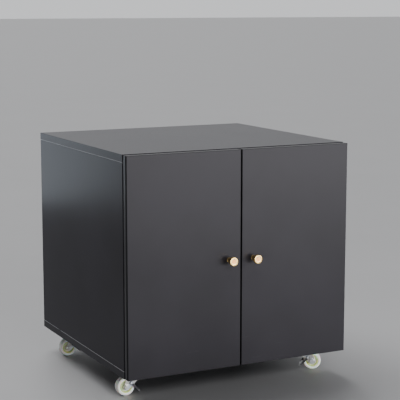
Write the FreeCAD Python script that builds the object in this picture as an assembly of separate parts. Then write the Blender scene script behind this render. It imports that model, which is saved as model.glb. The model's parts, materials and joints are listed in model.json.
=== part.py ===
import FreeCAD, Part
import math
import os

# Rolling printer cabinet: a low two-door box of 16 mm laminated board on four braked casters.
# X runs left to right, the doors face -Y, Z is up, and the floor is Z = 0. Millimetres.
Vec = FreeCAD.Vector

# Carcass
WIDTH = 500.0            # over the side panels
BOARD = 16.0             # laminated chipboard
BODY_BOTTOM = 54.0       # underside of the bottom panel, which is also the casters' height
BODY_TOP = 498.0
CARCASS_FRONT = -211.0   # front edges of the carcass panels
CARCASS_BACK = 251.0
BAND = 1.0               # edge band thickness
ARRIS = 0.8              # rounding along each band
BACK_T = 3.0             # hardboard back
BACK_Y = 236.1
GROOVE_DEPTH = 6.0
SHELF_BOTTOM = 268.0
SHELF_FRONT, SHELF_REAR = -191.0, 231.0
SHELF_PIN_R = 2.5
PIN_Z = SHELF_BOTTOM - SHELF_PIN_R
PIN_ROWS = [PIN_Z + 32.0 * k for k in range(-2, 3)]
PIN_COLUMNS = (-174.0, 190.0)

# Corner joints: a cam, its bolt and two dowels at each end of each side panel
CAM_Y = (-140.0, 180.0)
CAM_R, CAM_THICK = 7.4, 12.2
CAM_SETBACK = 34.0       # cam centre from the end of the side panel
BOLT_THREAD_R, BOLT_DEPTH = 3.0, 11.0
BOLT_COLLAR_R, BOLT_NECK_R, BOLT_HEAD_R = 3.6, 2.0, 3.5
DOWEL_Y = (-172.0, 212.0)
DOWEL_R, DOWEL_IN_SIDE, DOWEL_IN_CAP = 4.0, 18.0, 12.0

# Doors
DOOR_GAP = 2.0           # between the doors and the carcass
DOOR_REVEAL = 1.0        # sides, top and bottom
CENTRE_GAP = 3.0
DOOR_FRONT = CARCASS_FRONT - DOOR_GAP - BOARD
DOOR_Z0, DOOR_Z1 = BODY_BOTTOM + DOOR_REVEAL, BODY_TOP - DOOR_REVEAL
KNOB_X, KNOB_Z, KNOB_LENGTH = 27.5, 276.0, 22.0
KNOB_SCREW_R, KNOB_SCREW_GRIP = 2.0, 11.5
BUMPER_R, BUMPER_T = 4.0, 1.7

# Hinges, placed by u (inward from the side panel's outer face) and v (forward of the carcass front)
HINGE_Z = (135.0, 417.0)
PIVOT_U, PIVOT_V = 7.2, 11.0
HINGE_PIN_R, HINGE_PIN_HALF = 1.2, 9.0
CUP_U, CUP_R, CUP_BORE_R, CUP_DEPTH = 21.0, 17.5, 16.7, 12.5
CUP_WING_T = 1.2
CUP_SCREW_U, CUP_SCREW_DZ = 30.5, 22.5
PLATE_T, SPINE_T = 2.4, 3.0
PLATE_SCREW_V, PLATE_SCREW_DZ = -37.0, 16.0
ARM_SCREW_V, ARM_SCREW_R = (-24.0, -46.0), 1.9
EYE_R, EYE_HALF = 2.1, 3.5
SCREW_R = 1.75

# Casters: swivel axis position, and the direction in which each wheel trails
CASTERS = {
    "front_left": (-200.0, -143.0, 180.0),
    "front_right": (200.0, -143.0, -31.0),
    "rear_left": (-200.0, 183.0, 180.0),
    "rear_right": (200.0, 183.0, 0.0),
}
WHEEL_R, WHEEL_HALF = 19.0, 8.5
TRAIL = 20.0
LEG_IN, LEG_T = 9.6, 2.0
LEG_OUT = LEG_IN + LEG_T
CROWN_Z = 41.5
PAD_HALF, PAD_T = 24.0, 2.0
PAD_BOTTOM = BODY_BOTTOM - PAD_T
PAD_SCREW_OFFSET, PAD_SCREW_R = 18.5, 2.0
RACE_R, RACE_HALF_WIDTH = 11.5, 3.3
BALL_R, BALL_Z, BALLS = 2.0, 47.75, 12
KINGPIN_R, AXLE_R, RIVET_R = 3.0, 3.0, 1.5
BRAKE_X, BRAKE_Z = 11.0, 27.0
ARM_IN, ARM_OUT = LEG_OUT + 0.6, LEG_OUT + 2.1
THROUGH = 40.0           # length of a cutter that passes right through a caster
RUNNING = 0.05           # radial clearance of a shaft that turns


def box(x0, x1, y0, y1, z0, z1):
    return Part.makeBox(x1 - x0, y1 - y0, z1 - z0, Vec(x0, y0, z0))


def rod(x, y, z, radius, length, axis):
    return Part.makeCylinder(radius, length, Vec(x, y, z), Vec(*axis))


def fuse(shapes):
    return shapes[0].multiFuse(shapes[1:]).removeSplitter()


def cut(shape, tools):
    return shape.cut(Part.makeCompound(tools))


def mirrored(shape):
    return shape.mirror(Vec(0, 0, 0), Vec(1, 0, 0))


def both_sides(shapes):
    return list(shapes) + [mirrored(s) for s in shapes]


def fillet(shape, radius, keep):
    return shape.makeFillet(radius, [e for e in shape.Edges if keep(e.BoundBox)])


def crossed(reach, width, slab):
    """The cross recess of a screw: slab(a, b) reaches a one way and b the other."""
    return [slab(reach, width), slab(width, reach)]


def prism(points, y0, y1):
    """Outline in X and Z, carried from y0 to y1."""
    wire = Part.makePolygon([Vec(x, y0, z) for x, z in points + points[:1]])
    return Part.Face(wire).extrude(Vec(0, y1 - y0, 0))


def turned(points, centre):
    """Outline of radius against Y, turned about the Y direction through a centre."""
    wire = Part.makePolygon([Vec(r, y, 0) for r, y in points + points[:1]])
    solid = Part.Face(wire).revolve(Vec(0, 0, 0), Vec(0, 1, 0), 360)
    solid.translate(centre)
    return solid


def uv_box(u0, u1, v0, v1, z0, z1):
    """Box at the left-hand hinge line."""
    return box(u0 - WIDTH / 2, u1 - WIDTH / 2, CARCASS_FRONT - v1, CARCASS_FRONT - v0, z0, z1)


def u_rod(u0, u1, v, z, radius):
    return rod(u0 - WIDTH / 2, CARCASS_FRONT - v, z, radius, u1 - u0, (1, 0, 0))


def v_rod(u, v0, v1, z, radius):
    return rod(u - WIDTH / 2, CARCASS_FRONT - v1, z, radius, v1 - v0, (0, 1, 0))


def z_rod(u, v, z0, z1, radius):
    return rod(u - WIDTH / 2, CARCASS_FRONT - v, z0, radius, z1 - z0, (0, 0, 1))


def save(name, shapes):
    shape = shapes[0] if len(shapes) == 1 else Part.makeCompound(shapes)
    shape.exportStep("parts/" + name + ".step")


def edge_ring(x0, x1, y0, y1, z0, z1, flat):
    """Band round a panel, its two long arrises rounded; flat is the axis the panel is thin along."""
    inset = {"y": (BAND, 0, BAND), "z": (BAND, BAND, 0)}[flat]
    outer = box(x0, x1, y0, y1, z0, z1)
    if flat == "y":
        outer = fillet(outer, ARRIS, lambda b: b.YLength < 0.1)
    else:
        outer = fillet(outer, ARRIS, lambda b: b.ZLength < 0.1)
    ix, iy, iz = inset
    return outer.cut(box(x0 + ix, x1 - ix, y0 + iy, y1 - iy, z0 + iz, z1 - iz))


def edge_strip(x0, x1, y0, y1, z0, z1, outer_y, along):
    """Band on one edge of a panel, rounded along its two outer arrises."""
    strip = box(x0, x1, y0, y1, z0, z1)
    if along == "z":
        return fillet(strip, ARRIS, lambda b: b.ZLength > 50 and abs(b.YMin - outer_y) < 0.01)
    return fillet(strip, ARRIS, lambda b: b.XLength > 50 and abs(b.YMin - outer_y) < 0.01)


def carcass_holes():
    """Everything drilled for the cams, bolts and dowels that join each side to top and bottom."""
    tools = []
    x = -WIDTH / 2 + BOARD / 2
    for end, inward in ((BODY_TOP - BOARD, -1), (BODY_BOTTOM + BOARD, 1)):
        for y in CAM_Y:
            v, z = CARCASS_FRONT - y, end + inward * CAM_SETBACK
            tools.append(u_rod(BOARD - CAM_THICK - 0.4, BOARD + 0.01, v, z, CAM_R + 0.1))
            tools.append(rod(x, y, end, BOLT_COLLAR_R + 0.2, CAM_SETBACK - 6, (0, 0, inward)))
            tools.append(rod(x, y, end, BOLT_THREAD_R, BOLT_DEPTH, (0, 0, -inward)))
        for y in DOWEL_Y:
            tools.append(rod(x, y, end, DOWEL_R, DOWEL_IN_SIDE + 0.5, (0, 0, inward)))
            tools.append(rod(x, y, end, DOWEL_R, DOWEL_IN_CAP + 0.5, (0, 0, -inward)))
    return both_sides(tools)


PAD_CORNERS = [(dx, dy) for dx in (-PAD_SCREW_OFFSET, PAD_SCREW_OFFSET)
               for dy in (-PAD_SCREW_OFFSET, PAD_SCREW_OFFSET)]


def caster_screw_points():
    for cx, cy, _ in CASTERS.values():
        for dx, dy in PAD_CORNERS:
            yield cx + dx, cy + dy


def build_carcass():
    half = WIDTH / 2
    inner = half - BOARD
    z_low, z_high = BODY_BOTTOM + BOARD, BODY_TOP - BOARD
    holes = carcass_holes()
    groove = box(-inner - GROOVE_DEPTH, inner + GROOVE_DEPTH, BACK_Y - 0.1, BACK_Y + BACK_T + 0.1,
                 z_low - GROOVE_DEPTH, z_high + GROOVE_DEPTH)

    # Top and bottom run the full width and cap the ends of the sides.
    core = (-half + BAND, half - BAND, CARCASS_FRONT + BAND, CARCASS_BACK - BAND)
    top = cut(box(*core, z_high, BODY_TOP), holes + [groove])
    pilots = [rod(x, y, BODY_BOTTOM, PAD_SCREW_R, 12, (0, 0, 1)) for x, y in caster_screw_points()]
    bottom = cut(box(*core, BODY_BOTTOM, z_low), holes + [groove] + pilots)
    save("top_panel", [top])
    save("bottom_panel", [bottom])

    # Sides, drilled for shelf pins and for the hinge plates.
    side = box(-half, -inner, CARCASS_FRONT + BAND, CARCASS_BACK - BAND, z_low, z_high)
    drilled = [u_rod(BOARD - 9, BOARD + 0.01, CARCASS_FRONT - y, z, SHELF_PIN_R)
               for y in PIN_COLUMNS for z in PIN_ROWS]
    for z in HINGE_Z:
        for dz in (-PLATE_SCREW_DZ, PLATE_SCREW_DZ):
            drilled.append(u_rod(BOARD - 12, BOARD + 0.01, PLATE_SCREW_V, z + dz, SCREW_R))
    side = cut(side, holes + drilled + [groove])
    save("left_side_panel", [side])
    save("right_side_panel", [mirrored(side)])

    reach = inner + GROOVE_DEPTH - 0.5
    save("back_panel", [box(-reach, reach, BACK_Y, BACK_Y + BACK_T,
                            z_low - GROOVE_DEPTH + 0.5, z_high + GROOVE_DEPTH - 0.5)])
    shelf_top = SHELF_BOTTOM + BOARD
    save("shelf", [box(-inner + 1, inner - 1, SHELF_FRONT + BAND, SHELF_REAR, SHELF_BOTTOM, shelf_top)])

    bands = [edge_ring(-half, half, CARCASS_FRONT, CARCASS_BACK, z0, z0 + BOARD, "z")
             for z0 in (BODY_BOTTOM, z_high)]
    for y0, outer in ((CARCASS_FRONT, CARCASS_FRONT), (CARCASS_BACK - BAND, CARCASS_BACK)):
        bands += both_sides([edge_strip(-half, -inner, y0, y0 + BAND, z_low, z_high, outer, "z")])
    bands.append(edge_strip(-inner + 1, inner - 1, SHELF_FRONT, SHELF_FRONT + BAND,
                            SHELF_BOTTOM, shelf_top, SHELF_FRONT, "x"))
    save("carcass_edge_banding", bands)


def cam_lock(y, end, inward):
    """Slotted cam that grips the bolt's head, its cross recess facing the compartment."""
    z = end + inward * CAM_SETBACK
    v = CARCASS_FRONT - y
    body = u_rod(BOARD - CAM_THICK - 0.2, BOARD - 0.2, v, z, CAM_R)
    x = -WIDTH / 2 + BOARD / 2
    way = rod(x, y, z, BOLT_HEAD_R + 0.2, 10, (0, 0, -inward))
    cross = crossed(4, 0.8, lambda a, b: uv_box(BOARD - 2.2, BOARD, v - a, v + a, z - b, z + b))
    return cut(body, [way] + cross)


def cam_bolt(y, end, inward):
    """Steel bolt: thread in the panel, collar at the joint, neck and head inside the cam."""
    x = -WIDTH / 2 + BOARD / 2
    reach = CAM_SETBACK - 0.5
    return fuse([
        rod(x, y, end, BOLT_THREAD_R, BOLT_DEPTH, (0, 0, -inward)),
        rod(x, y, end, BOLT_COLLAR_R, 2, (0, 0, inward)),
        rod(x, y, end, BOLT_NECK_R, reach, (0, 0, inward)),
        rod(x, y, end + inward * reach, BOLT_HEAD_R, 2.5, (0, 0, -inward)),
    ])


def dowel(y, end, inward):
    x = -WIDTH / 2 + BOARD / 2
    return rod(x, y, end + inward * DOWEL_IN_SIDE, DOWEL_R, DOWEL_IN_SIDE + DOWEL_IN_CAP, (0, 0, -inward))


def shelf_pin(y):
    """Peg with a collar that stops it at the side panel's face."""
    v = CARCASS_FRONT - y
    collar = u_rod(BOARD, BOARD + 0.8, v, PIN_Z, SHELF_PIN_R + 1.1)
    return fuse([u_rod(BOARD - 8.5, BOARD + 8, v, PIN_Z, SHELF_PIN_R), collar])


def build_fittings():
    ends = ((BODY_TOP - BOARD, -1), (BODY_BOTTOM + BOARD, 1))
    save("cam_locks", both_sides([cam_lock(y, *end) for end in ends for y in CAM_Y]))
    save("cam_bolts", both_sides([cam_bolt(y, *end) for end in ends for y in CAM_Y]))
    save("wood_dowels", both_sides([dowel(y, *end) for end in ends for y in DOWEL_Y]))
    save("shelf_pins", both_sides([shelf_pin(y) for y in PIN_COLUMNS]))


def plate_screw(z):
    """Flat-headed wood screw that holds the mounting plate, its head just below the plate's face."""
    head_u = BOARD + PLATE_T - 0.1
    v = PLATE_SCREW_V
    head = Part.makeCone(3.4, SCREW_R, 1.7, Vec(head_u - WIDTH / 2, CARCASS_FRONT - v, z), Vec(-1, 0, 0))
    shank = u_rod(head_u - 13.4, head_u - 1.6, v, z, SCREW_R)
    cross = crossed(1.8, 0.4, lambda a, b: uv_box(head_u - 1, head_u + 0.1, v - a, v + a, z - b, z + b))
    return cut(fuse([head, shank]), cross)


def hinge_plate(z):
    """Cross-shaped mounting plate on the side panel's inner face."""
    face = BOARD + SPINE_T
    spine = uv_box(BOARD, face, -52, -14, z - 7.5, z + 7.5)
    wings = uv_box(BOARD, BOARD + PLATE_T, PLATE_SCREW_V - 6, PLATE_SCREW_V + 6, z - 24, z + 24)
    wings = fillet(wings, 5.5, lambda b: b.YLength < 0.1 and b.ZLength < 0.1)
    tools = []
    for dz in (-PLATE_SCREW_DZ, PLATE_SCREW_DZ):
        x, y = BOARD + PLATE_T - WIDTH / 2, CARCASS_FRONT - PLATE_SCREW_V
        tools.append(u_rod(BOARD - 1, face, PLATE_SCREW_V, z + dz, SCREW_R))
        tools.append(Part.makeCone(3.6, SCREW_R, 1.85, Vec(x, y, z + dz), Vec(-1, 0, 0)))
    tools += [u_rod(BOARD + 0.5, face + 0.01, v, z, ARM_SCREW_R + 0.1) for v in ARM_SCREW_V]
    return cut(fuse([spine, wings]), tools)


def hinge_arm(z):
    """Cranked arm: an eye on the door's pivot, a crank through the cup and a channel on the plate."""
    base = BOARD + SPINE_T
    channel = uv_box(base, base + 5, -56, -4, z - 7, z + 7)
    channel = fillet(channel, 4.0, lambda b: b.ZLength > 10 and b.XMin > base + 4.9 - WIDTH / 2)
    channel = channel.cut(uv_box(base + 1.4, base + 6, -60, 0, z - 5.6, z + 5.6))
    z0, z1 = z - EYE_HALF, z + EYE_HALF
    front = PIVOT_V + EYE_R
    arm = fuse([
        z_rod(PIVOT_U, PIVOT_V, z0, z1, EYE_R),
        uv_box(PIVOT_U, base + 2, PIVOT_V + 0.3, front, z0, z1),
        uv_box(base, base + 2, -6, front, z0, z1),
        channel,
    ])
    arm = arm.cut(z_rod(PIVOT_U, PIVOT_V, z0 - 1, z1 + 1, HINGE_PIN_R + RUNNING))
    slots = [uv_box(base - 1, base + 3, v - 3, v + 3, z - 2.0, z + 2.0) for v in ARM_SCREW_V]
    return cut(arm, slots)


def arm_screw(v, z):
    """Machine screw that clamps the arm to its plate."""
    seat = BOARD + SPINE_T + 1.4
    body = fuse([u_rod(BOARD + 0.6, seat + 0.1, v, z, ARM_SCREW_R), u_rod(seat, seat + 2, v, z, 3.6)])
    return cut(body, crossed(2.2, 0.5, lambda a, b: uv_box(seat + 1, seat + 2.1, v - a, v + a, z - b, z + b)))


def build_carcass_hinges():
    save("hinge_plates", both_sides([hinge_plate(z) for z in HINGE_Z]))
    save("hinge_arms", both_sides([hinge_arm(z) for z in HINGE_Z]))
    save("hinge_plate_screws", both_sides([plate_screw(z + dz) for z in HINGE_Z
                                           for dz in (-PLATE_SCREW_DZ, PLATE_SCREW_DZ)]))
    save("hinge_arm_screws", both_sides([arm_screw(v, z) for z in HINGE_Z for v in ARM_SCREW_V]))


def hinge_pin(z):
    return z_rod(PIVOT_U, PIVOT_V, z - HINGE_PIN_HALF, z + HINGE_PIN_HALF, HINGE_PIN_R)


def hinge_cup(z):
    """Pressed steel cup let into the door, with two screwed wings on its inner half."""
    floor = DOOR_GAP + CUP_DEPTH
    back = DOOR_GAP - CUP_WING_T
    wings = uv_box(CUP_SCREW_U - 5.5, CUP_SCREW_U + 5.5, back, DOOR_GAP, z - 28, z + 28)
    wings = fillet(wings, 4.0, lambda b: b.XLength < 0.1 and b.ZLength < 0.1)
    flange = fuse([v_rod(CUP_U, back, DOOR_GAP, z, CUP_R + 1.5), wings])
    flange = flange.common(uv_box(BOARD + 1.5, 60, 0, 4, z - 40, z + 40))
    cup = fuse([v_rod(CUP_U, DOOR_GAP, floor, z, CUP_R), flange])
    tools = [v_rod(CUP_U, 0, floor - 0.8, z, CUP_BORE_R), hinge_pin(z)]
    tools += [v_rod(CUP_SCREW_U, 0, DOOR_GAP + 1, z + dz, SCREW_R) for dz in (-CUP_SCREW_DZ, CUP_SCREW_DZ)]
    return cut(cup, tools)


def cup_screw(z):
    """Pan-headed screw driven forward into the door through a cup's wing."""
    u, seat, head = CUP_SCREW_U, DOOR_GAP - CUP_WING_T, 1.6
    body = fuse([v_rod(u, seat - head, seat, z, 3.2), v_rod(u, seat - 0.2, seat + 12, z, SCREW_R)])
    crown_y = CARCASS_FRONT - seat + head
    body = fillet(body, 1.0, lambda b: b.YLength < 0.01 and b.XLength > 6 and abs(b.YMax - crown_y) < 0.01)
    cross = crossed(1.7, 0.35, lambda a, b: uv_box(u - a, u + a, seat - 2, seat - 0.8, z - b, z + b))
    return cut(body, cross)


def knob(y0):
    """Turned knob: foot, waist and a dished head, with a blind hole for its screw."""
    end = -KNOB_LENGTH
    foot = [(0, 0), (5.5, 0), (5.5, -1.6)]
    waist = [(4.4, -2.6), (4.0, -5.0), (4.2, -8.0), (5.6, -11.0), (8.0, -13.2)]
    head = [(9.0, -14.6), (9.0, end + 1.0), (8.0, end), (6.6, end), (6.3, end + 0.9), (0, end + 0.9)]
    solid = turned(foot + waist + head, Vec(-KNOB_X, y0, KNOB_Z))
    return cut(solid, [rod(-KNOB_X, y0 - 12, KNOB_Z, KNOB_SCREW_R, 12, (0, 1, 0))])


def knob_screw(y0, y1):
    """Machine screw through the door from its back into the knob."""
    x, z = -KNOB_X, KNOB_Z
    screw = fuse([rod(x, y1, z, 4.0, 2.2, (0, 1, 0)),
                  rod(x, y0 - KNOB_SCREW_GRIP, z, KNOB_SCREW_R, y1 - y0 + KNOB_SCREW_GRIP + 0.5, (0, 1, 0))])
    return cut(screw, crossed(2.4, 0.5, lambda a, b: box(x - a, x + a, y1 + 1.2, y1 + 3, z - b, z + b)))


def build_door(name, place):
    """A door made at the left; place carries it to its own side."""
    x0, x1 = -WIDTH / 2 + DOOR_REVEAL, -CENTRE_GAP / 2
    y0, y1 = DOOR_FRONT, DOOR_FRONT + BOARD
    panel = box(x0 + BAND, x1 - BAND, y0, y1, DOOR_Z0 + BAND, DOOR_Z1 - BAND)
    tools = [rod(-KNOB_X, y0 - 1, KNOB_Z, KNOB_SCREW_R, BOARD + 2, (0, 1, 0))]
    for z in HINGE_Z:
        tools.append(v_rod(CUP_U, DOOR_GAP - 1, DOOR_GAP + CUP_DEPTH, z, CUP_R))
        for dz in (-CUP_SCREW_DZ, CUP_SCREW_DZ):
            tools.append(v_rod(CUP_SCREW_U, 0, DOOR_GAP + 11, z + dz, SCREW_R))
    save(name + "_door_panel", [place(cut(panel, tools))])
    save(name + "_door_edge_banding", [place(edge_ring(x0, x1, y0, y1, DOOR_Z0, DOOR_Z1, "y"))])
    save(name + "_door_hinge_cups", [place(hinge_cup(z)) for z in HINGE_Z])
    save(name + "_door_cup_screws", [place(cup_screw(z + dz)) for z in HINGE_Z
                                     for dz in (-CUP_SCREW_DZ, CUP_SCREW_DZ)])
    save(name + "_door_hinge_pins", [place(hinge_pin(z)) for z in HINGE_Z])
    save(name + "_door_bumpers", [place(bumper(x1 - 14, z)) for z in (DOOR_Z0 + 7, DOOR_Z1 - 7)])
    save(name + "_door_knob", [place(knob(y0))])
    save(name + "_door_knob_screw", [place(knob_screw(y0, y1))])


def bumper(x, z):
    """Clear dome that cushions the door against the carcass."""
    y = DOOR_FRONT + BOARD
    dome = rod(x, y, z, BUMPER_R, BUMPER_T, (0, 1, 0))
    return fillet(dome, 1.2, lambda b: b.YLength < 0.01 and b.YMax > y + BUMPER_T - 0.1)


def ball_groove(cx, cy):
    return Part.makeTorus(RACE_R, BALL_R + RUNNING, Vec(cx, cy, BALL_Z))


def ring(cx, cy, z, height, hole_z, hole_height):
    """Blank of a ball race, bored from hole_z."""
    blank = rod(cx, cy, z, RACE_R + RACE_HALF_WIDTH, height, (0, 0, 1))
    return blank.cut(rod(cx, cy, hole_z, RACE_R - RACE_HALF_WIDTH, hole_height, (0, 0, 1)))


def caster_plate(cx, cy):
    """Screwed plate with the upper ball race pressed down from it."""
    h = PAD_HALF
    low = BODY_BOTTOM - 5.0
    plate = fillet(box(cx - h, cx + h, cy - h, cy + h, PAD_BOTTOM, BODY_BOTTOM), 5.0, lambda b: b.ZLength > 1)
    race = ring(cx, cy, low, 3.5, low - 1, 4)
    tools = [ball_groove(cx, cy), rod(cx, cy, low - 1, KINGPIN_R, 8, (0, 0, 1))]
    tools += [rod(cx + dx, cy + dy, PAD_BOTTOM - 1, PAD_SCREW_R, 4, (0, 0, 1)) for dx, dy in PAD_CORNERS]
    return cut(fuse([plate, race]), tools)


def caster_screw(x, y):
    """Pan-headed screw driven up through a corner of a caster's plate."""
    z = PAD_BOTTOM
    head = fillet(rod(x, y, z - 1.9, 3.9, 1.9, (0, 0, 1)), 1.2, lambda b: b.ZMax < z - 1)
    shank = rod(x, y, z - 0.5, PAD_SCREW_R, 13, (0, 0, 1))
    cross = crossed(2.0, 0.4, lambda a, b: box(x - a, x + a, y - b, y + b, z - 2, z - 0.9))
    return cut(fuse([head, shank]), cross)


def caster_kingpin(cx, cy):
    """Riveted pin: its shank fills the plate's bore, and its head carries the fork."""
    shank_z = CROWN_Z - 0.4
    return fuse([rod(cx, cy, shank_z, KINGPIN_R, BODY_BOTTOM - shank_z, (0, 0, 1)),
                 rod(cx, cy, shank_z - 1.8, 4.8, 1.8, (0, 0, 1))])


def fork():
    """Pressed fork: crown with the lower race, and two legs reaching back to the axle."""
    leg = [(-9.5, CROWN_Z + 2), (17, CROWN_Z + 2), (26.9, 20), (20, 19), (15.5, 13.6), (-9.5, 37)]
    crown = box(-9.5, 17, -LEG_OUT, LEG_OUT, CROWN_Z, CROWN_Z + 2)
    shapes = [ring(0, 0, CROWN_Z, 5.0, CROWN_Z + 2, 6), crown]
    for y in (-LEG_OUT, LEG_IN):
        shapes += [prism(leg, y, y + LEG_T), rod(TRAIL, y, WHEEL_R, 7.0, LEG_T, (0, 1, 0))]
    return cut(fuse(shapes), [
        ball_groove(0, 0),
        rod(0, 0, CROWN_Z - 1, KINGPIN_R + RUNNING, 8, (0, 0, 1)),
        rod(TRAIL, -THROUGH / 2, WHEEL_R, AXLE_R, THROUGH, (0, 1, 0)),
        rod(BRAKE_X, -THROUGH / 2, BRAKE_Z, RIVET_R, THROUGH, (0, 1, 0)),
    ])


def wheel():
    """Moulded hub with a thin web, and a soft tread with a groove round its middle."""
    centre = Vec(TRAIL, 0, WHEEL_R)
    w = WHEEL_HALF
    bore = AXLE_R + RUNNING
    flank = [(bore, -w), (6.5, -w), (7.0, -3), (10.8, -3), (11.2, -7.6), (13.2, -7.6)]
    hub = turned(flank + [(r, -y) for r, y in reversed(flank)], centre)
    shoulder = [(13.2, w - 0.9), (13.8, w - 0.2), (15.6, w), (17.4, w - 0.5), (18.6, w - 1.7)]
    crown = [(WHEEL_R, w - 3.2), (WHEEL_R, 0.9), (WHEEL_R - 0.8, 0.5)]
    half = shoulder + crown
    tread = turned(half + [(r, -y) for r, y in reversed(half)], centre)
    return hub, tread


def axle_bolt():
    """Bolt through both legs, its nut outside the far one."""
    z = WHEEL_R
    shank = rod(TRAIL, -LEG_OUT, z, AXLE_R, 2 * LEG_OUT + 4.2, (0, 1, 0))
    nut = hexagon(LEG_OUT, 3.4, z).cut(rod(TRAIL, LEG_OUT, z, AXLE_R, 10, (0, 1, 0)))
    return [fuse([shank, hexagon(-LEG_OUT - 3.6, 3.6, z)]), nut]


def brake_lever():
    """Stirrup with an arm outside each leg. Treading on its cross plate swings it at the tread."""
    arm = [(BRAKE_X - 3.4, BRAKE_Z - 0.6), (-2.6, 15.8), (-2.6, 13.4), (-6.8, 9.2), (-5.7, 8.1),
           (BRAKE_X + 0.6, BRAKE_Z - 3.4)]
    pedal = [(-1.2, 13.7), (-0.1, 14.8), (-1.2, 15.9), (-8.0, 9.1), (-6.9, 8.0)]
    shapes = [prism(pedal, -ARM_OUT, ARM_OUT)]
    for y0, y1 in ((-ARM_OUT, -ARM_IN), (ARM_IN, ARM_OUT)):
        shapes += [prism(arm, y0, y1), rod(BRAKE_X, y0, BRAKE_Z, 3.6, y1 - y0, (0, 1, 0))]
    return fuse(shapes).cut(rod(BRAKE_X, -THROUGH / 2, BRAKE_Z, RIVET_R + RUNNING, THROUGH, (0, 1, 0)))


def brake_rivet(side):
    """Stub rivet from one leg of the fork, headed outside the lever's arm."""
    out = (0, side, 0)
    return fuse([rod(BRAKE_X, side * LEG_IN, BRAKE_Z, RIVET_R, ARM_OUT + 1 - LEG_IN, out),
                 rod(BRAKE_X, side * (ARM_OUT + 0.3), BRAKE_Z, 2.7, 0.9, out)])


def caster_pieces():
    """The swivelling pieces of one caster, its swivel axis on Z and its wheel trailing along +X."""
    hub, tread = wheel()
    return {"fork": [fork()], "wheel_hub": [hub], "wheel_tread": [tread], "axle_bolt": axle_bolt(),
            "brake_lever": [brake_lever()], "brake_rivets": [brake_rivet(-1), brake_rivet(1)]}


def hexagon(y, length, z):
    """Hexagon 10 mm across its flats, about the axle."""
    corner = 5.77
    turns = [math.radians(60 * k) for k in range(6)]
    return prism([(TRAIL + corner * math.cos(a), z + corner * math.sin(a)) for a in turns], y, y + length)


def build_casters():
    plates, pins, balls = [], [], []
    pieces = caster_pieces()
    for name, (cx, cy, heading) in CASTERS.items():
        plates.append(caster_plate(cx, cy))
        pins.append(caster_kingpin(cx, cy))
        for k in range(BALLS):
            a = 2 * math.pi * k / BALLS
            centre = Vec(cx + RACE_R * math.cos(a), cy + RACE_R * math.sin(a), BALL_Z)
            balls.append(Part.makeSphere(BALL_R, centre))
        for piece, shapes in pieces.items():
            placed = []
            for shape in shapes:
                shape = shape.copy()
                shape.rotate(Vec(0, 0, 0), Vec(0, 0, 1), heading)
                shape.translate(Vec(cx, cy, 0))
                placed.append(shape)
            save(name + "_" + piece, placed)
    save("caster_plates", plates)
    save("caster_screws", [caster_screw(x, y) for x, y in caster_screw_points()])
    save("caster_kingpins", pins)
    save("caster_balls", balls)


os.makedirs("parts", exist_ok=True)
build_carcass()
build_fittings()
build_carcass_hinges()
build_door("left", lambda shape: shape)
build_door("right", mirrored)
build_casters()
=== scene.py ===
import json
import math

import bmesh
import bpy
from mathutils import Matrix, Vector

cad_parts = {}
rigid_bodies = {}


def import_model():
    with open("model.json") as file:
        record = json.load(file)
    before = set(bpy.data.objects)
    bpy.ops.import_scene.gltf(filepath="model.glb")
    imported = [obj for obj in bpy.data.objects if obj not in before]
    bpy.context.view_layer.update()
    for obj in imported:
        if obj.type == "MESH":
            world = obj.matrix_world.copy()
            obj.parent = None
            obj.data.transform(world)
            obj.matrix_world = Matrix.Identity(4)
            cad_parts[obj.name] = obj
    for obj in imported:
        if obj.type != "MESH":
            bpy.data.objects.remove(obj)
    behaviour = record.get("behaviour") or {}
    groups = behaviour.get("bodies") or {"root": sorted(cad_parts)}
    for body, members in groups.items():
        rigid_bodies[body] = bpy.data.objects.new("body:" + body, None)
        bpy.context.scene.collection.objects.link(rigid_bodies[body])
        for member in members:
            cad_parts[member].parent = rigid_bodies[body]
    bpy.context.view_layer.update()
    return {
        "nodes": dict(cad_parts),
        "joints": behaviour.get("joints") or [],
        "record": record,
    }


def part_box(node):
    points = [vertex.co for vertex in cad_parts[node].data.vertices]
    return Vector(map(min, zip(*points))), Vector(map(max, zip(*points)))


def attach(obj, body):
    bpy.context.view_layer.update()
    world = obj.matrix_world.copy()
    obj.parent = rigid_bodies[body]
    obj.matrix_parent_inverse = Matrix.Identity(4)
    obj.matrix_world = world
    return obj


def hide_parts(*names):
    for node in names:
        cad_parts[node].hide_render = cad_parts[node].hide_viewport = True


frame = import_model()
MM = 0.001

# ---------------------------------------------------------------------------------------------
# Carcass boards: chipboard faced on both sides with matt anthracite melamine, pressed against a
# fine pearl-textured plate. Top and bottom cap the sides; cams, bolts and dowels pull them tight.
# ---------------------------------------------------------------------------------------------


class Value:
    """A number or vector that varies over a surface. Arithmetic on it adds nodes to its tree."""

    def __init__(self, nodes, socket):
        self.nodes = nodes
        self.socket = socket

    def maths(self, operation, *terms):
        inputs = dict(enumerate(terms))
        return self.nodes.node("ShaderNodeMath", {"operation": operation}, inputs)

    def __add__(self, other):
        return self.maths("ADD", self, other)

    def __sub__(self, other):
        return self.maths("SUBTRACT", self, other)

    def __rsub__(self, other):
        return self.maths("SUBTRACT", other, self)

    def __mul__(self, other):
        return self.maths("MULTIPLY", self, other)

    def __abs__(self):
        return self.maths("ABSOLUTE", self)

    __radd__ = __add__
    __rmul__ = __mul__

    def step(self, low, high):
        """Rises smoothly from 0 at low to 1 at high, or falls if low is the larger."""
        settings = {"interpolation_type": "SMOOTHSTEP"}
        return self.nodes.node("ShaderNodeMapRange", settings, {0: self, 1: low, 2: high, 3: 0.0, 4: 1.0})


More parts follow.
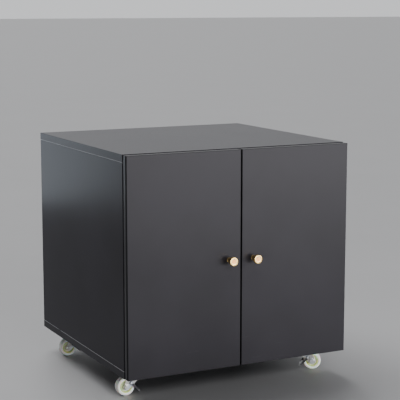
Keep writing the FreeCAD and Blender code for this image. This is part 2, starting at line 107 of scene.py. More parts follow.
class Nodes:
    """Adds nodes to a shader tree."""

    def __init__(self, tree):
        self.tree = tree

    def node(self, kind, settings, inputs, output=0):
        """Adds a node: its settings first, then the numbers or links of its sockets."""
        made = self.tree.nodes.new(kind)
        for name, choice in settings.items():
            setattr(made, name, choice)
        for key, given in inputs.items():
            if isinstance(given, Value):
                self.tree.links.new(given.socket, made.inputs[key])
            else:
                made.inputs[key].default_value = given
        return Value(self, made.outputs[output])

    def mix(self, factor, first, second):
        """Colour from first to second."""
        inputs = {0: factor, 6: (*first, 1.0) if isinstance(first, tuple) else first,
                  7: (*second, 1.0) if isinstance(second, tuple) else second}
        return self.node("ShaderNodeMix", {"data_type": "RGBA"}, inputs, 2)


class Finish(Nodes):
    """A material round one Principled surface. Sockets that are the same all over are set here."""

    def __init__(self, name, **even):
        self.material = bpy.data.materials.new(name)
        self.material.use_nodes = True
        super().__init__(self.material.node_tree)
        self.surface = self.tree.nodes["Principled BSDF"]
        for socket, number in even.items():
            self.surface.inputs[socket.replace("_", " ")].default_value = number

    def place(self):
        return self.node("ShaderNodeTexCoord", {}, {}, "Object")

    def mapped(self, stretch, centre=(0.0, 0.0, 0.0)):
        """Object coordinates about a centre, stretched."""
        settings = {"operation": "SUBTRACT"}
        about = self.node("ShaderNodeVectorMath", settings, {0: self.place(), 1: centre})
        return self.node("ShaderNodeMapping", {}, {"Vector": about, "Scale": stretch})

    def along(self, axis):
        """Distance in metres along X, Y or Z."""
        return self.node("ShaderNodeSeparateXYZ", {}, {0: self.place()}, axis)

    def noise(self, scale, detail, rough, vector=None):
        where = vector or self.place()
        inputs = {"Vector": where, "Scale": scale, "Detail": detail, "Roughness": rough}
        return self.node("ShaderNodeTexNoise", {}, inputs)

    def facing(self, axis):
        """How far the face looks along X, Y or Z, from -1 to 1."""
        normal = self.node("ShaderNodeNewGeometry", {}, {}, "Normal")
        return self.node("ShaderNodeSeparateXYZ", {}, {0: normal}, axis)

    def feed(self, **sockets):
        for name, value in sockets.items():
            self.tree.links.new(value.socket, self.surface.inputs[name.replace("_", " ")])

    def bump(self, height, strength, distance):
        inputs = {"Strength": strength, "Distance": distance, "Height": height}
        self.feed(Normal=self.node("ShaderNodeBump", {}, inputs))


def melamine(name, tone, gloss, matt, smudge_centre=None):
    """Matt pressed laminate: pearl texture, faint clouding, a little dust above and scuffs below."""
    finish = Finish(name, IOR=gloss)
    dusty = (0.30, 0.30, 0.30)
    scuffed = (0.26, 0.26, 0.27)
    pearl = finish.noise(1500.0, 2.0, 0.6)
    grit = finish.noise(420.0, 3.0, 0.6)
    cloud = finish.noise(4.5, 3.0, 0.55)
    dust = finish.facing("Z").step(0.7, 0.98) * finish.noise(260.0, 3.0, 0.7).step(0.45, 0.75)
    scuff = finish.noise(1.0, 4.0, 0.65, finish.mapped((14.0, 14.0, 420.0)))
    scuff = scuff.step(0.66, 0.74) * finish.along("Z").step(160 * MM, 60 * MM)
    lighter = tuple(1.16 * c for c in tone)
    darker = tuple(0.86 * c for c in tone)
    colour = finish.mix(cloud.step(0.3, 0.7), darker, lighter)
    colour = finish.mix(pearl.step(0.58, 0.72) * 0.16, colour, tuple(1.7 * c for c in tone))
    colour = finish.mix(dust * 0.08, colour, dusty)
    colour = finish.mix(scuff * 0.20, colour, scuffed)
    rough = matt + 0.08 * cloud + 0.05 * grit + 0.06 * dust
    if smudge_centre:
        away = finish.node("ShaderNodeVectorMath", {"operation": "DISTANCE"},
                           {0: finish.place(), 1: smudge_centre}, "Value")
        touched = away.step(85 * MM, 18 * MM) * finish.noise(38.0, 4.0, 0.7).step(0.4, 0.66)
        rough = rough - 0.13 * touched
    finish.feed(Base_Color=colour, Roughness=rough)
    finish.bump(pearl * 0.7 + grit * 0.3, 0.10, 0.12 * MM)
    return finish.material


def coat(mesh, material):
    mesh.materials.clear()
    mesh.materials.append(material)


def dress(node, material):
    """Gives a CAD node that keeps its own shape a finer material."""
    coat(frame["nodes"][node].data, material)


ANTHRACITE = (0.033, 0.031, 0.038)
dull_board = melamine("anthracite melamine", ANTHRACITE, 1.14, 0.27)
for board in ("bottom_panel", "left_side_panel", "right_side_panel", "shelf"):
    dress(board, dull_board)
# The top shines more at a low angle than the other boards do.
dress("top_panel", melamine("dusted anthracite melamine", ANTHRACITE, 1.48, 0.35))

# ---------------------------------------------------------------------------------------------
# Edge banding: 1 mm ABS tape ironed round the boards and scraped to a small radius. Where the caps sit on
# the sides, a pale,
# broken hairline is painted on the tape: partly its cut edge, partly a painted highlight along the arris.
# ---------------------------------------------------------------------------------------------
low_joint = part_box("bottom_panel")[1].z
high_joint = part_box("top_panel")[0].z


def banding(name, tone, gloss, door_front=None):
    """Textured tape: on the carcass, pale joint lines, partly the tape's cut edge and partly a painted
    highlight; on a door, a dark line of painted shade along the front edge.
    """
    finish = Finish(name, IOR=gloss)
    height = finish.along("Z")
    grain = finish.noise(1.0, 3.0, 0.6, finish.mapped((900.0, 900.0, 160.0)))
    cloud = finish.noise(9.0, 3.0, 0.6)
    darker = tuple(0.88 * c for c in tone)
    lighter = tuple(1.15 * c for c in tone)
    colour = finish.mix(cloud.step(0.3, 0.7), darker, lighter)
    sideways = abs(finish.facing("X")).step(0.6, 0.8)
    rough = 0.27 + 0.12 * grain + 0.05 * cloud
    if door_front is None:
        # The pale, broken joint lines are partly the tape's cut edge and partly a painted highlight along
        # the arris.
        low_line = abs(height - low_joint).step(1.4 * MM, 0.8 * MM)
        high_line = abs(height - high_joint).step(1.7 * MM, 1.0 * MM)
        broken = finish.noise(70.0, 3.0, 0.7).step(0.22, 0.46)
        pale_core_and_highlight = (0.48, 0.48, 0.50)
        colour = finish.mix((low_line + high_line) * broken * sideways * 0.9, colour, pale_core_and_highlight)
    else:
        # The outer half of a door's upright edge is painted near-black and rougher: painted shade, a dark
        # line along the door's front edge.
        painted_lip_shade = finish.along("Y").step(door_front + 7.5 * MM, door_front + 6.0 * MM) * sideways
        colour = finish.mix(painted_lip_shade * 0.95, colour, (0.008, 0.008, 0.009))
        rough = rough + 0.45 * painted_lip_shade
    finish.feed(Base_Color=colour, Roughness=rough)
    finish.bump(grain, 0.12, 0.1 * MM)
    return finish.material


dress("carcass_edge_banding", banding("anthracite edge tape", (0.036, 0.035, 0.041), 1.15))

# ---------------------------------------------------------------------------------------------
# Back: 3 mm hardboard slid into grooves, lacquered dark on a slightly fibrous face.
# ---------------------------------------------------------------------------------------------
hardboard = Finish("lacquered hardboard", IOR=1.5)
fibres = hardboard.noise(1.0, 5.0, 0.7, hardboard.mapped((520.0, 520.0, 90.0)))
blotch = hardboard.noise(7.0, 3.0, 0.6)
stain = hardboard.mix(fibres * 0.6 + blotch * 0.4, (0.030, 0.029, 0.029), (0.062, 0.060, 0.060))
hardboard.feed(Base_Color=stain, Roughness=0.62 + 0.2 * fibres)
hardboard.bump(fibres, 0.25, 0.15 * MM)
dress("back_panel", hardboard.material)

# ---------------------------------------------------------------------------------------------
# Knock-down fittings: die-cast cams, zinc-plated bolts and fluted beech dowels at the corners,
# and plated pegs for the shelf. Each kind is one pattern, set out again at every place.
# ---------------------------------------------------------------------------------------------


def plated(name, tint, rough=0.30, scratch=(60.0, 60.0, 900.0)):
    """Plated steel: drawing lines, clouded passivation and dull specks."""
    finish = Finish(name, Metallic=1.0)
    lines = finish.noise(1.0, 3.0, 0.6, finish.mapped(scratch))
    haze = finish.noise(70.0, 4.0, 0.6)
    specks = finish.noise(600.0, 2.0, 0.7).step(0.62, 0.75)
    warm = tuple(c * f for c, f in zip(tint, (1.06, 1.0, 0.90)))
    cool = tuple(c * f for c, f in zip(tint, (0.90, 0.96, 1.04)))
    colour = finish.mix(haze.step(0.35, 0.65), warm, cool)
    colour = finish.mix(specks * 0.35, colour, tuple(0.45 * c for c in tint))
    finish.feed(Base_Color=colour, Roughness=rough + 0.16 * haze + 0.12 * lines)
    finish.bump(lines + specks * 0.5, 0.10, 0.1 * MM)
    return finish.material


zinc = plated("blue zinc plate", (0.66, 0.68, 0.70))
nickel = plated("nickel plate", (0.62, 0.59, 0.54), rough=0.22)
die_cast = plated("die-cast zinc", (0.42, 0.42, 0.43), rough=0.42, scratch=(420.0, 420.0, 420.0))

beech = Finish("beech", IOR=1.5)
grain = beech.noise(1.0, 6.0, 0.65, beech.mapped((900.0, 900.0, 60.0)))
timber = beech.mix(grain.step(0.3, 0.7), (0.36, 0.21, 0.10), (0.62, 0.42, 0.24))
beech.feed(Base_Color=timber, Roughness=0.55 + 0.15 * grain)
beech.bump(grain, 0.2, 0.2 * MM)


def new_object(name, data):
    made = bpy.data.objects.new(name, data)
    bpy.context.scene.collection.objects.link(made)
    return made


def finished(mesh, crease):
    """Smooth faces, with every edge sharper than crease left crisp."""
    mesh.shade_smooth()
    mesh.set_sharp_from_angle(angle=math.radians(crease))
    return mesh


def lathe(outline, steps=48):
    """Turns an outline of (radius, height) in millimetres about Z. It starts and ends on the axis."""
    work = bmesh.new()
    rings = []
    for radius, height in outline:
        if radius < 1e-6:
            rings.append([work.verts.new((0, 0, height * MM))])
            continue
        ring = []
        for k in range(steps):
            a = 2 * math.pi * k / steps
            ring.append(work.verts.new((radius * MM * math.cos(a), radius * MM * math.sin(a), height * MM)))
        rings.append(ring)
    for lower, upper in zip(rings, rings[1:]):
        for k in range(steps):
            corners = [lower[k % len(lower)], lower[(k + 1) % len(lower)],
                       upper[(k + 1) % len(upper)], upper[k % len(upper)]]
            unique = list(dict.fromkeys(corners))
            if len(unique) > 2:
                work.faces.new(unique)
    bmesh.ops.recalc_face_normals(work, faces=work.faces)
    mesh = bpy.data.meshes.new("turned")
    work.to_mesh(mesh)
    work.free()
    return mesh


def with_recess(mesh, reach, width, depth, top):
    """Cuts a cross recess, sizes in millimetres, into the upper end of a turned mesh."""
    body = new_object("blank", mesh)
    work = bmesh.new()
    for a, b in ((reach, width), (width, reach)):
        at = Matrix.Translation((0, 0, top * MM))
        bar = Matrix.Diagonal((a * MM, b * MM, 2 * depth * MM, 1))
        bmesh.ops.create_cube(work, size=1.0, matrix=at @ bar)
    tool_mesh = bpy.data.meshes.new("cross")
    work.to_mesh(tool_mesh)
    work.free()
    tool = new_object("cross", tool_mesh)
    cutter = body.modifiers.new("recess", "BOOLEAN")
    cutter.object = tool
    cutter.use_self = True
    view = bpy.context.evaluated_depsgraph_get()
    result = bpy.data.meshes.new_from_object(body.evaluated_get(view))
    for thing in (body, tool):
        bpy.data.objects.remove(thing)
    return result


def setting_out_tree():
    """Puts the pattern at every mark, facing the mark's own way, with a seeded turn about its axis."""
    tree = bpy.data.node_groups.new("setting out", "GeometryNodeTree")
    face = tree.interface
    face.new_socket("Marks", in_out="INPUT", socket_type="NodeSocketGeometry")
    face.new_socket("Pattern", in_out="INPUT", socket_type="NodeSocketObject")
    face.new_socket("Size", in_out="INPUT", socket_type="NodeSocketFloat")
    face.new_socket("Turn", in_out="INPUT", socket_type="NodeSocketFloat")
    face.new_socket("Seed", in_out="INPUT", socket_type="NodeSocketInt")
    face.new_socket("Finish", in_out="INPUT", socket_type="NodeSocketMaterial")
    face.new_socket("Pieces", in_out="OUTPUT", socket_type="NodeSocketGeometry")

    def add(kind, inputs, output=0, **settings):
        made = tree.nodes.new(kind)
        for name, choice in settings.items():
            setattr(made, name, choice)
        for key, given in inputs.items():
            if hasattr(given, "is_output"):
                tree.links.new(given, made.inputs[key])
            else:
                made.inputs[key].default_value = given
        return made.outputs[output]

    given = tree.nodes.new("NodeGroupInput").outputs
    pattern = add("GeometryNodeObjectInfo", {"Object": given["Pattern"], "As Instance": True}, "Geometry")
    way = add("GeometryNodeInputNamedAttribute", {"Name": "facing"}, data_type="FLOAT_VECTOR")
    aligned = add("FunctionNodeAlignRotationToVector", {"Vector": way}, axis="Z")
    turns = {2: 0.0, 3: given["Turn"], "Seed": given["Seed"]}
    spin = add("FunctionNodeRandomValue", turns, 1, data_type="FLOAT")
    about = add("FunctionNodeAxisAngleToRotation", {"Axis": (0.0, 0.0, 1.0), "Angle": spin})
    turned = add("FunctionNodeRotateRotation", {0: aligned, 1: about}, rotation_space="LOCAL")
    points = add("GeometryNodeMeshToPoints", {"Mesh": given["Marks"]})
    copies = add("GeometryNodeInstanceOnPoints",
                 {"Points": points, "Instance": pattern, "Rotation": turned, "Scale": given["Size"]})
    solid = add("GeometryNodeRealizeInstances", {"Geometry": copies})
    dressed = add("GeometryNodeSetMaterial", {"Geometry": solid, "Material": given["Finish"]})
    out = tree.nodes.new("NodeGroupOutput")
    tree.links.new(dressed, out.inputs["Pieces"])
    return tree


setting_out = setting_out_tree()


bodies = frame["record"]["behaviour"]["bodies"]
body_of = {node: body for body, members in bodies.items() for node in members}


def stand_for(node, mesh, crease):
    """Adds the mesh as the visible piece for a CAD node, on the same body."""
    piece = new_object(node + "_detail", finished(mesh, crease))
    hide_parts(node)
    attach(piece, body_of[node])
    return piece


def set_out(node, mesh, marks, material, turn=0.0, seed=1, crease=35.0):
    """Sets a pattern out at (place, facing) marks as one plain mesh that stands for a CAD node."""
    pattern = new_object("pattern", mesh)
    spots = bpy.data.meshes.new(node + "_detail")
    spots.from_pydata([place for place, _ in marks], [], [])
    ways = spots.attributes.new("facing", "FLOAT_VECTOR", "POINT")
    for spot, (_, way) in zip(ways.data, marks):
        spot.vector = way
    holder = new_object(node + "_marks", spots)
    modifier = holder.modifiers.new("setting out", "NODES")
    modifier.node_group = setting_out
    given = {"Pattern": pattern, "Size": 1.0, "Turn": turn, "Seed": seed, "Finish": material}
    for socket in setting_out.interface.items_tree:
        if socket.name in given:
            modifier[socket.identifier] = given[socket.name]
    view = bpy.context.evaluated_depsgraph_get()
    made = bpy.data.meshes.new_from_object(holder.evaluated_get(view))
    holder.modifiers.clear()
    bpy.data.objects.remove(holder)
    bpy.data.objects.remove(pattern)
    stand_for(node, made, crease)


def islands(node):
    """The centre and size of each separate solid in a CAD node, from left to right, front to back."""
    work = bmesh.new()
    work.from_mesh(frame["nodes"][node].data)
    bmesh.ops.remove_doubles(work, verts=work.verts, dist=1e-6)
    left = set(work.verts)
    found = []
    while left:
        edge = [left.pop()]
        group = []
        while edge:
            vert = edge.pop()
            group.append(vert.co.copy())
            for link in vert.link_edges:
                other = link.other_vert(vert)
                if other in left:
                    left.remove(other)
                    edge.append(other)
        low = Vector(map(min, *group))
        high = Vector(map(max, *group))
        found.append(((low + high) / 2, high - low))
    work.free()
    return sorted(found, key=lambda item: tuple(round(c, 4) for c in item[0]))


def inward(place):
    """Into the cabinet from whichever side the place is on."""
    return (1.0, 0.0, 0.0) if place.x < 0 else (-1.0, 0.0, 0.0)


# Cam: a disc with a chamfered face and a cross slot, just under the board's surface.
cam_half = 6.1
cam_line = [(0, -cam_half), (7.4, -cam_half), (7.4, 5.6), (6.9, cam_half), (0, cam_half)]
cam_disc = with_recess(lathe(cam_line), 8.0, 1.6, 2.2, cam_half)
cam_marks = [(c, inward(c)) for c, _ in islands("cam_locks")]
set_out("cam_locks", cam_disc, cam_marks, die_cast, turn=0.5)

# Dowel: chamfered ends and pressed flutes that let the glue pass.
upward = (0.0, 0.0, 1.0)
downward = (0.0, 0.0, -1.0)
flutes = 12
flute_depth = 0.06       # of the dowel's radius
dowel = lathe([(0, -15), (3.2, -15), (4.0, -14), (4.0, 14), (3.2, 15), (0, 15)], 3 * flutes)
for vert in dowel.vertices:
    angle = math.atan2(vert.co.y, vert.co.x)
    if abs(vert.co.z) > 13 * MM:
        continue
    vert.co.xy *= 1 - flute_depth * max(0.0, math.cos(flutes * angle))
dowel_marks = [(c, upward) for c, _ in islands("wood_dowels")]
set_out("wood_dowels", dowel, dowel_marks, beech.material, crease=60.0)

# Cam bolt: coarse thread below, collar at the joint, neck and head that the cam grips.
bolt_half = 22.25
bolt_pitch = 1.7
bolt_line = [(0, -bolt_half), (2.2, -bolt_half)]
for k in range(6):
    bolt_line += [(3.0, -21.2 + bolt_pitch * k), (2.3, -20.4 + bolt_pitch * k)]
bolt_line += [(3.6, -11.2), (3.6, -9.3), (2.0, -9.2), (2.0, 18.6),
              (3.5, 19.6), (3.5, 21.6), (2.8, bolt_half), (0, bolt_half)]
middle = (low_joint + high_joint) / 2
bolt_marks = [(c, upward if c.z < middle else downward) for c, _ in islands("cam_bolts")]
set_out("cam_bolts", lathe(bolt_line, 24), bolt_marks, zinc)

# Shelf peg: a plated pin with a collar that stops it at the side's face.
peg = lathe([(0, -8.25), (2.2, -8.25), (2.5, -7.9), (2.5, 0.25), (3.6, 0.25), (3.6, 0.9),
             (3.45, 1.05), (2.5, 1.05), (2.5, 7.6), (2.0, 8.25), (0, 8.25)])
set_out("shelf_pins", peg, [(c, inward(c)) for c, _ in islands("shelf_pins")], nickel)

# ---------------------------------------------------------------------------------------------
# Concealed hinges: pressed and nickel-plated. A plate is screwed to the side, a cranked arm is
# clamped on it, and the arm's eye turns on a pin through the wall of a cup let into the door.
# ---------------------------------------------------------------------------------------------


def refined(node, material, edge):
    """The CAD node's own shape with merged faces, edges rounded by so many mm and smooth curves."""
    mesh = frame["nodes"][node].data.copy()
    work = bmesh.new()
    work.from_mesh(mesh)
    bmesh.ops.remove_doubles(work, verts=work.verts, dist=1e-6)
    bmesh.ops.dissolve_limit(work, angle_limit=math.radians(1.0), verts=work.verts, edges=work.edges)
    work.to_mesh(mesh)
    work.free()
    coat(mesh, material)
    round_over = stand_for(node, mesh, 30.0).modifiers.new("edges", "BEVEL")
    round_over.width = edge * MM
    round_over.segments = 2
    round_over.limit_method = "ANGLE"
    round_over.angle_limit = math.radians(35)
    round_over.use_clamp_overlap = True
    round_over.harden_normals = True


def screw(head, height, shank, length):
    """Pan-headed screw, sizes in millimetres: its seat at 0, head above and thread below."""
    line = [(0, -length), (0.3 * shank, -length + 0.2)]
    pitch = 1.3
    root = 0.72 * shank
    neck = 0.8 * shank
    doming = 0.45            # how much of the head's radius its round edge takes
    for k in range(int((length - 3) / pitch)):
        foot = -length + 1.6 + pitch * k
        line += [(root, foot), (shank, foot + 0.45 * pitch)]
    line += [(neck, -1.2), (neck, 0), (head, 0)]
    for k in range(1, 7):
        a = math.radians(15 * k)
        line.append((head * (1 - doming * (1 - math.cos(a))), height * math.sin(a)))
    line.append((0, height))
    return with_recess(lathe(line, 28), 1.05 * head, 0.24 * head, 0.65 * height, height)


refined("hinge_plates", nickel, 0.3)
refined("hinge_arms", nickel, 0.2)


def side_seats(node, head):
    """Where the screws in the sides seat, a head's height below their inner ends."""
    return [(c + Vector(inward(c)) * (size.x / 2 - head * MM), inward(c)) for c, size in islands(node)]


plate_marks = side_seats("hinge_plate_screws", 0.6)
set_out("hinge_plate_screws", screw(3.3, 0.5, 1.7, 11.0), plate_marks, zinc, turn=3.0, seed=3)
arm_marks = side_seats("hinge_arm_screws", 1.9)
set_out("hinge_arm_screws", screw(3.6, 1.7, 1.85, 3.6), arm_marks, zinc, turn=3.0, seed=5)

# ---------------------------------------------------------------------------------------------
# Casters, fixed part: a pressed plate with the upper ball race, wood screws at its corners,
# twelve loose balls and a riveted kingpin.
# ---------------------------------------------------------------------------------------------
refined("caster_plates", zinc, 0.3)
refined("caster_kingpins", zinc, 0.4)
caster_seats = [(Vector((c.x, c.y, c.z - size.z / 2 + 1.9 * MM)), downward)
                for c, size in islands("caster_screws")]
set_out("caster_screws", screw(3.9, 1.85, 1.95, 12.0), caster_seats, zinc, turn=3.0, seed=7)
polished = plated("polished bearing steel", (0.62, 0.63, 0.64), rough=0.08)
ball_radius = 2.0
ball_bands = 10
ball_line = []
for k in range(ball_bands + 1):
    tilt = math.pi * k / ball_bands
    ball_line.append((ball_radius * math.sin(tilt), -ball_radius * math.cos(tilt)))
ball_marks = [(c, upward) for c, _ in islands("caster_balls")]
set_out("caster_balls", lathe(ball_line, 16), ball_marks, polished, crease=60.0)

# ---------------------------------------------------------------------------------------------
# Doors: the same board, banded all round, with cups, pins, screws and clear cushion pads behind.
# The face is touched round the knob, so the matt surface is a little burnished there.
# ---------------------------------------------------------------------------------------------
silicone = Finish("clear silicone", IOR=1.41, Transmission_Weight=0.7)
cloudy = silicone.noise(300.0, 3.0, 0.6)
gel = silicone.mix(cloudy, (0.70, 0.72, 0.72), (0.85, 0.87, 0.88))
silicone.feed(Base_Color=gel, Roughness=0.25 + 0.2 * cloudy)
silicone.bump(cloudy, 0.1, 0.1 * MM)
pad = lathe([(0, 0), (4.0, 0), (4.0, 0.5), (3.7, 1.1), (3.0, 1.5), (2.0, 1.65), (0, 1.7)])

door_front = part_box("left_door_panel")[0].y
# The doors' tape is a lighter tone than the carcass tape: painted light, for the lit strip along the doors'
# edges.
door_tape = banding("door edge tape", (0.046, 0.045, 0.050), 1.22, door_front)
forward = (0.0, -1.0, 0.0)
rearward = (0.0, 1.0, 0.0)


def knob_foot_of(hand):
    """The middle of a knob's foot, on the door's face."""
    low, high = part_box(hand + "_door_knob")
    return Vector(((low.x + high.x) / 2, high.y, (low.z + high.z) / 2))


for hand in ("left", "right"):
    door = hand + "_door"
    knob_foot = knob_foot_of(hand)
    dress(door + "_panel", melamine(hand + " door melamine", ANTHRACITE, 1.4, 0.35, tuple(knob_foot)))
    dress(door + "_edge_banding", door_tape)
    refined(door + "_hinge_cups", nickel, 0.2)
    refined(door + "_hinge_pins", zinc, 0.2)
    cup_seats = [(Vector((c.x, c.y + size.y / 2 - 1.6 * MM, c.z)), rearward)
                 for c, size in islands(door + "_cup_screws")]
    set_out(door + "_cup_screws", screw(3.2, 1.6, 1.7, 11.5), cup_seats, zinc, turn=3.0, seed=11)
    pad_seats = [(Vector((c.x, c.y - size.y / 2, c.z)), rearward) for c, size in islands(door + "_bumpers")]
    set_out(door + "_bumpers", pad, pad_seats, silicone.material)
    _, screw_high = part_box(door + "_knob_screw")
    seat = Vector((knob_foot.x, screw_high.y - 2.2 * MM, knob_foot.z))
    set_out(door + "_knob_screw", screw(4.0, 2.15, 1.95, 27.0), [(seat, rearward)], zinc, turn=3.0, seed=13)

# ---------------------------------------------------------------------------------------------
# Knobs: turned from brass bar on a foot and a waist, the face dished inside a rim, then lacquered a pale
# champagne. The dish is painted darker and redder, painted shade that leaves the rim looking bright.
# Turning leaves fine rings that catch the light.
# ---------------------------------------------------------------------------------------------


def flowing(points):
    """A smooth line through the points, the ends kept."""
    steps = 6
    padded = [points[0]] + points + [points[-1]]
    line = []
    for a, b, c, d in zip(padded, padded[1:], padded[2:], padded[3:]):
        for k in range(steps):
            t = k / steps
            point = []
            for p, q, r, s in zip(a, b, c, d):
                square = 2 * p - 5 * q + 4 * r - s
                cube = 3 * q - p - 3 * r + s
                point.append(0.5 * (2 * q + (r - p) * t + square * t ** 2 + cube * t ** 3))
            line.append(tuple(point))
    return line + [points[-1]]


def placed(node, mesh, place, way, material):
    """A single turned piece at its place, standing for a CAD node."""
    turn = Vector(way).to_track_quat("Z", "X").to_matrix().to_4x4()
    mesh.transform(Matrix.Translation(place) @ turn)
    coat(mesh, material)
    stand_for(node, mesh, 30.0)


def knob_brass(name, centre):
    """Lacquered brass with turning rings; its dished middle is duller and painted a darker, redder tone,
    painted shade in the hollow.
    """
    finish = Finish(name, Metallic=1.0)
    about = finish.mapped((1.0, 0.0, 1.0), tuple(centre))
    radius = finish.node("ShaderNodeVectorMath", {"operation": "LENGTH"}, {0: about}, "Value")
    ring_phase = 16000.0     # radians for each metre, which sets a ring every 0.39 mm
    rings = finish.node("ShaderNodeMath", {"operation": "SINE"}, {0: radius * ring_phase})
    patina = finish.noise(160.0, 4.0, 0.65)
    face = finish.facing("Y").step(-0.75, -0.97) * radius.step(5.6 * MM, 4.2 * MM)
    colour = finish.mix(patina.step(0.35, 0.7), (1.0, 0.74, 0.32), (0.93, 0.62, 0.25))
    # The dished middle is painted darker and redder than the rim: painted shade in the hollow.
    colour = finish.mix(face * 0.9, colour, (0.90, 0.43, 0.16))
    finish.feed(Base_Color=colour, Roughness=0.30 + 0.08 * patina + 0.10 * face)
    finish.bump(rings, 0.05, 0.05 * MM)
    return finish.material


waist = flowing([(5.5, 1.4), (4.5, 2.6), (4.0, 5.0), (4.2, 8.0), (5.6, 11.0), (8.0, 13.2), (8.9, 14.6)])
rim = [(9.0, 15.2), (9.0, 20.9), (8.8, 21.5), (8.3, 21.9), (7.7, 22.0), (6.8, 22.0)]
dish = [(6.5, 21.8), (6.3, 21.2), (5.0, 21.1), (2.5, 21.1), (0, 21.1)]
knob_line = [(0, 0), (5.2, 0), (5.5, 0.3)] + waist + rim + dish
for hand in ("left", "right"):
    foot = knob_foot_of(hand)
    placed(hand + "_door_knob", lathe(knob_line, 64), foot, forward, knob_brass(hand + " knob brass", foot))

# ---------------------------------------------------------------------------------------------
# Casters, moving part: a bright pressed fork, a two-shot wheel (tinted clear hub inside a milky
# soft tread) on a hexagon bolt, and a stirrup brake on stub rivets.
# ---------------------------------------------------------------------------------------------
bright = plated("bright zinc fork", (0.74, 0.75, 0.76), rough=0.20, scratch=(180.0, 180.0, 700.0))


def arc(x, y, radius, start, end, steps):
    """Points of a round, angles in degrees."""
    turn = [math.radians(start + (end - start) * k / steps) for k in range(steps + 1)]
    return [(x + radius * math.cos(a), y + radius * math.sin(a)) for a in turn]


def blackened(name, pedal):
    """Black-passivated steel, with a bright bare-steel colour round the pedal."""
    finish = Finish(name, Metallic=0.9)
    away = finish.node("ShaderNodeVectorMath", {"operation": "DISTANCE"},
                       {0: finish.place(), 1: tuple(pedal)}, "Value")
    haze = finish.noise(160.0, 4.0, 0.65)
    # A bright bare-steel colour is put round the pedal, mottled by the haze.
    bright_pedal_patch = away.step(15.0 * MM, 11.5 * MM) * haze.step(0.25, 0.6)
    black = finish.mix(haze, (0.05, 0.05, 0.055), (0.10, 0.10, 0.105))
    finish.feed(Base_Color=finish.mix(bright_pedal_patch, black, (0.66, 0.67, 0.68)), Roughness=0.34 + 0.15 * haze)
    finish.bump(haze, 0.10, 0.1 * MM)
    return finish.material


def wheel_radius(finish, centre, axle):
    """Distance from the axle's line."""
    settings = {"operation": "SUBTRACT"}
    about = finish.node("ShaderNodeVectorMath", settings, {0: finish.place(), 1: tuple(centre)})
    across = finish.node("ShaderNodeVectorMath", {"operation": "CROSS_PRODUCT"}, {0: about, 1: tuple(axle)})
    return finish.node("ShaderNodeVectorMath", {"operation": "LENGTH"}, {0: across}, "Value")


def tread_finish(name, centre, axle):
    """Milky thermoplastic, greyed and scuffed where it rolls."""
    finish = Finish(name, IOR=1.47, Subsurface_Weight=0.35, Subsurface_Scale=0.004)
    radius = wheel_radius(finish, centre, axle)
    dirt = radius.step(18.0 * MM, 19.0 * MM) * finish.noise(190.0, 4.0, 0.7).step(0.3, 0.7)
    swirl = finish.noise(120.0, 3.0, 0.6)
    colour = finish.mix(swirl, (0.90, 0.90, 0.84), (0.96, 0.96, 0.92))
    colour = finish.mix(dirt * 0.4, colour, (0.40, 0.39, 0.36))
    finish.feed(Base_Color=colour, Roughness=0.30 + 0.12 * swirl + 0.3 * dirt)
    finish.bump(swirl + dirt, 0.12, 0.2 * MM)
    return finish.material


def hub_finish(name, centre, axle):
    """Tinted clear plastic, deeper in colour where the wall is thick."""
    finish = Finish(name, IOR=1.49, Subsurface_Weight=0.25, Subsurface_Scale=0.003)
    radius = wheel_radius(finish, centre, axle)
    rim = radius.step(9.5 * MM, 11.5 * MM)
    flow = finish.noise(140.0, 3.0, 0.6)
    pale = finish.mix(flow, (0.78, 0.80, 0.62), (0.86, 0.88, 0.74))
    deep = (0.62, 0.74, 0.22)
    finish.feed(Base_Color=finish.mix(rim * 0.9, pale, deep), Roughness=0.16 + 0.15 * flow)
    finish.bump(flow, 0.06, 0.2 * MM)
    return finish.material


# Half outlines: the tread's goes over its shoulder to the groove round its middle, and the
# hub's goes from its bore out to the rim. The other halves mirror them.
shoulder = arc(15.6, 5.1, 3.4, 90, 0, 8)
tread_half = [(13.2, 7.4), (13.6, 8.1), (14.6, 8.5)] + shoulder + [(19.0, 1.1), (18.6, 0.8), (18.2, 0.4)]
tread_line = tread_half + [(r, -h) for r, h in reversed(tread_half)]
hub_half = [(3.1, 8.5), (6.2, 8.5), (6.5, 8.2), (6.9, 3.4), (7.3, 3.0), (10.4, 3.0),
            (10.8, 3.4), (11.1, 7.2), (11.4, 7.6), (13.0, 7.6), (13.2, 7.4)]
hub_line = hub_half + [(r, -h) for r, h in reversed(hub_half)]


def hoop(outline):
    """A ring turned about Z from a closed outline, in millimetres."""
    mesh = bpy.data.meshes.new("hoop")
    verts, faces = [], []
    steps = 72
    count = len(outline)
    for k in range(steps):
        a = 2 * math.pi * k / steps
        verts += [(r * MM * math.cos(a), r * MM * math.sin(a), h * MM) for r, h in outline]
    for k in range(steps):
        for i in range(count):
            j = (i + 1) % count
            m = (k + 1) % steps
            faces.append((k * count + i, m * count + i, m * count + j, k * count + j))
    mesh.from_pydata(verts, [], faces)
    work = bmesh.new()
    work.from_mesh(mesh)
    bmesh.ops.recalc_face_normals(work, faces=work.faces)
    work.to_mesh(mesh)
    work.free()
    return mesh


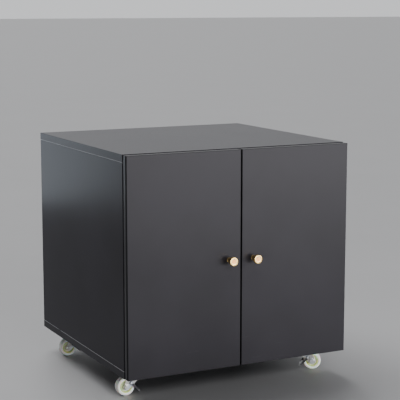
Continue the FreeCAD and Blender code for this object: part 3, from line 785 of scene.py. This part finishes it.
joints = {joint["name"]: joint for joint in frame["joints"]}
for corner in ("front_left", "front_right", "rear_left", "rear_right"):
    spin = joints[corner + "_wheel_spin"]
    centre = Vector(spin["pos_m"])
    axle = Vector(spin["axis"])
    refined(corner + "_fork", bright, 0.35)
    # The pedal is 8 mm past the kingpin, on the side away from the wheel.
    blade_low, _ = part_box(corner + "_brake_lever")
    swivel = Vector(joints[corner + "_swivel"]["pos_m"])
    trail = Vector((centre.x - swivel.x, centre.y - swivel.y, 0.0)).normalized()
    pedal = swivel - 8.0 * MM * trail
    pedal.z = blade_low.z
    refined(corner + "_brake_lever", blackened(corner + " brake steel", pedal), 0.3)
    refined(corner + "_brake_rivets", zinc, 0.3)
    refined(corner + "_axle_bolt", zinc, 0.5)
    tread = tread_finish(corner + " tread", centre, axle)
    placed(corner + "_wheel_tread", hoop(tread_line), centre, axle, tread)
    placed(corner + "_wheel_hub", hoop(hub_line), centre, axle, hub_finish(corner + " hub", centre, axle))

# ---------------------------------------------------------------------------------------------
# Stage: a plain pale floor, a low wide light in front, a fill above it, a narrow window light
# behind to the left that glances off the side, and a soft sky. One low light is for the casters
# and knobs only. The front and window lights are kept off the floor, which stays even.
# ---------------------------------------------------------------------------------------------
floor_mesh = bpy.data.meshes.new("floor")
reach = 60.0
corners = [(-reach, -reach, 0), (reach, -reach, 0), (reach, reach, 0), (-reach, reach, 0)]
floor_mesh.from_pydata(corners, [], [(0, 1, 2, 3)])
stone = Finish("pale floor", IOR=1.45)
mottle = stone.noise(2.2, 5.0, 0.6)
pale = stone.mix(mottle, (0.46, 0.46, 0.47), (0.54, 0.54, 0.55))
stone.feed(Base_Color=pale, Roughness=0.42 + 0.15 * mottle)
floor_mesh.materials.append(stone.material)
floor = new_object("floor", floor_mesh)


def softbox(name, place, target, width, height, power, colour=(1.0, 1.0, 1.0)):
    """A rectangular light, sizes in metres and power in watts, turned to its target."""
    light = bpy.data.lights.new(name, "AREA")
    light.shape = "RECTANGLE"
    light.size = width
    light.size_y = height
    light.energy = power
    light.color = colour
    lamp = new_object(name, light)
    lamp.location = place
    lamp.rotation_euler = (Vector(target) - Vector(place)).to_track_quat("-Z", "Y").to_euler()
    lamp.visible_camera = False
    return lamp


front = softbox("front", (1.15, -2.2, 0.45), (0.2, -0.2, 0.40), 2.0, 0.65, 29.0, (0.985, 0.97, 1.0))
all_but_floor = bpy.data.collections.new("all but the floor")
all_but_floor.objects.link(floor)
front.light_linking.receiver_collection = all_but_floor
all_but_floor.collection_objects[0].light_linking.link_state = "EXCLUDE"
small_parts = bpy.data.collections.new("casters and knobs")
for piece in list(bpy.data.objects):
    if piece.name.startswith(("front_", "rear_")) or piece.name.endswith("_knob_detail"):
        small_parts.objects.link(piece)
low_light = softbox("low", (0.1, -1.6, 0.30), (0.0, -0.15, 0.02), 1.6, 0.4, 16.0)
low_light.light_linking.receiver_collection = small_parts
softbox("fill", (0.1, -2.6, 1.5), (0.0, -0.2, 0.2), 1.8, 0.8, 20.0)
window = softbox("window", (-0.46, 0.66, 0.69), (-0.46, -1.0, 0.69), 0.36, 0.84, 2.2, (0.80, 0.90, 1.0))
window.light_linking.receiver_collection = all_but_floor

skylight = bpy.data.lights.new("skylight", "SUN")
skylight.energy = 2.4
skylight.angle = math.radians(50)
sky = new_object("skylight", skylight)
sky.rotation_euler = Vector((0.15, -0.50, -0.85)).to_track_quat("-Z", "Y").to_euler()

# The room is pale towards the back right and dimmer elsewhere, like a lit backdrop.
world = bpy.data.worlds.new("room")
world.use_nodes = True
room = Nodes(world.node_tree)
way = room.node("ShaderNodeTexCoord", {}, {}, "Generated")
backdrop = (0.53, 0.85, 0.0)
towards = room.node("ShaderNodeVectorMath", {"operation": "DOT_PRODUCT"}, {0: way, 1: backdrop}, "Value")
glow = room.mix(towards.step(0.62, 0.96), (0.060, 0.061, 0.064), (0.80, 0.81, 0.83))
world.node_tree.links.new(glow.socket, world.node_tree.nodes["Background"].inputs["Color"])
bpy.context.scene.world = world

# The camera stands to the left of the doors and looks a little down, through a long lens.
lens = bpy.data.cameras.new("camera")
lens.sensor_width = 36.0
lens.lens = 112.67
camera = new_object("camera", lens)
camera.location = (-1.18247, -2.39437, 0.78268)
camera.rotation_euler = (math.radians(81.076), 0.0, math.radians(-26.712))
bpy.context.scene.camera = camera
